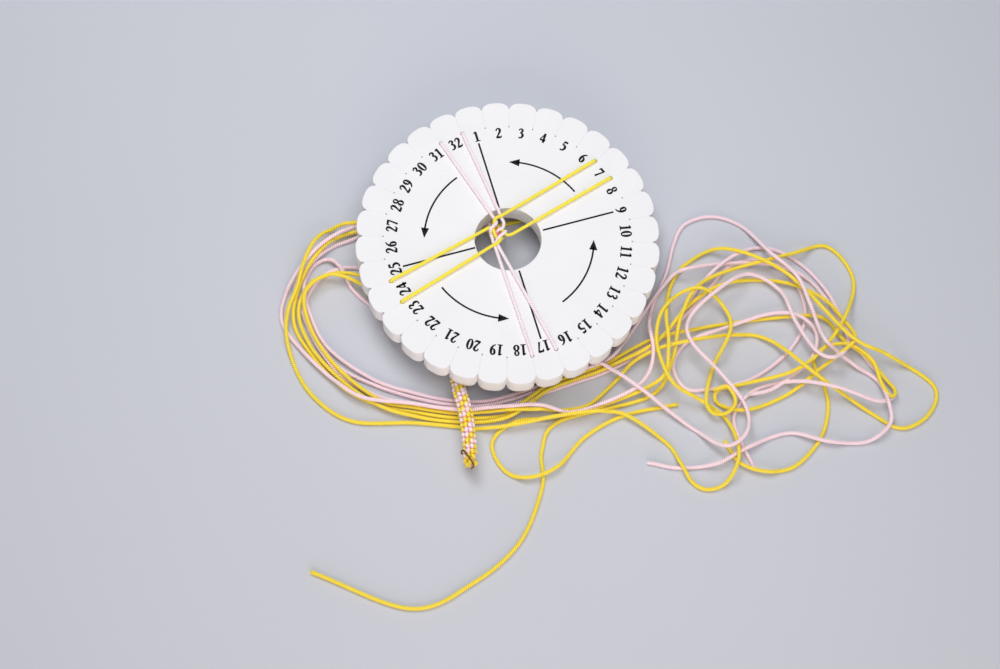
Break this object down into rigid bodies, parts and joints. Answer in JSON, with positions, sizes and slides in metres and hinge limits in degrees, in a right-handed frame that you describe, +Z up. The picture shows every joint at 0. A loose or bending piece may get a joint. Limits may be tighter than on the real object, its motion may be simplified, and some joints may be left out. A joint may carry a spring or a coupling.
{
  "type": "kumihimo disk",
  "caption": "Round foam braiding disk with a petal rim, numbered slots and a centre hole, holding taut yellow and pink cords that meet in a round braid, with loose cord tails",
  "frame": {"origin": "point of the tabletop under the centre of the disk's hole", "axes": "+Z up along the disk's axis, +Y away from the braid's free end, +X towards the heap of cord tails"},
  "size_m": [0.3257, 0.2543, 0.0241],
  "materials": {
    "foam_white": "matte closed-cell EVA foam",
    "cord_yellow": "plaited satin cord",
    "cord_pink": "plaited satin cord",
    "wire_copper": "dull lacquered copper wire"
  },
  "bodies": {
    "disk": {"foam_disk": "foam_white", "yellow_span_1": "cord_yellow", "yellow_span_2": "cord_yellow", "yellow_span_3": "cord_yellow", "yellow_span_4": "cord_yellow", "pink_span_1": "cord_pink", "pink_span_2": "cord_pink", "pink_span_3": "cord_pink", "pink_span_4": "cord_pink", "yellow_tail_1": "cord_yellow", "yellow_tail_2": "cord_yellow", "yellow_tail_3": "cord_yellow", "yellow_tail_4": "cord_yellow", "pink_tail_1": "cord_pink", "pink_tail_2": "cord_pink", "pink_tail_3": "cord_pink", "pink_tail_4": "cord_pink"},
    "braid": {"braid_neck": "cord_yellow", "braid_run": "cord_pink", "wire_tie": "wire_copper"}
  },
  "joints": [
    {"name": "braid_swivel", "type": "hinge", "parent": "disk", "child": "braid", "pos_m": [-0.005, 0.007, 0.012], "axis": [0, 0, 1], "range_deg": [-20, 3]}
  ]
}
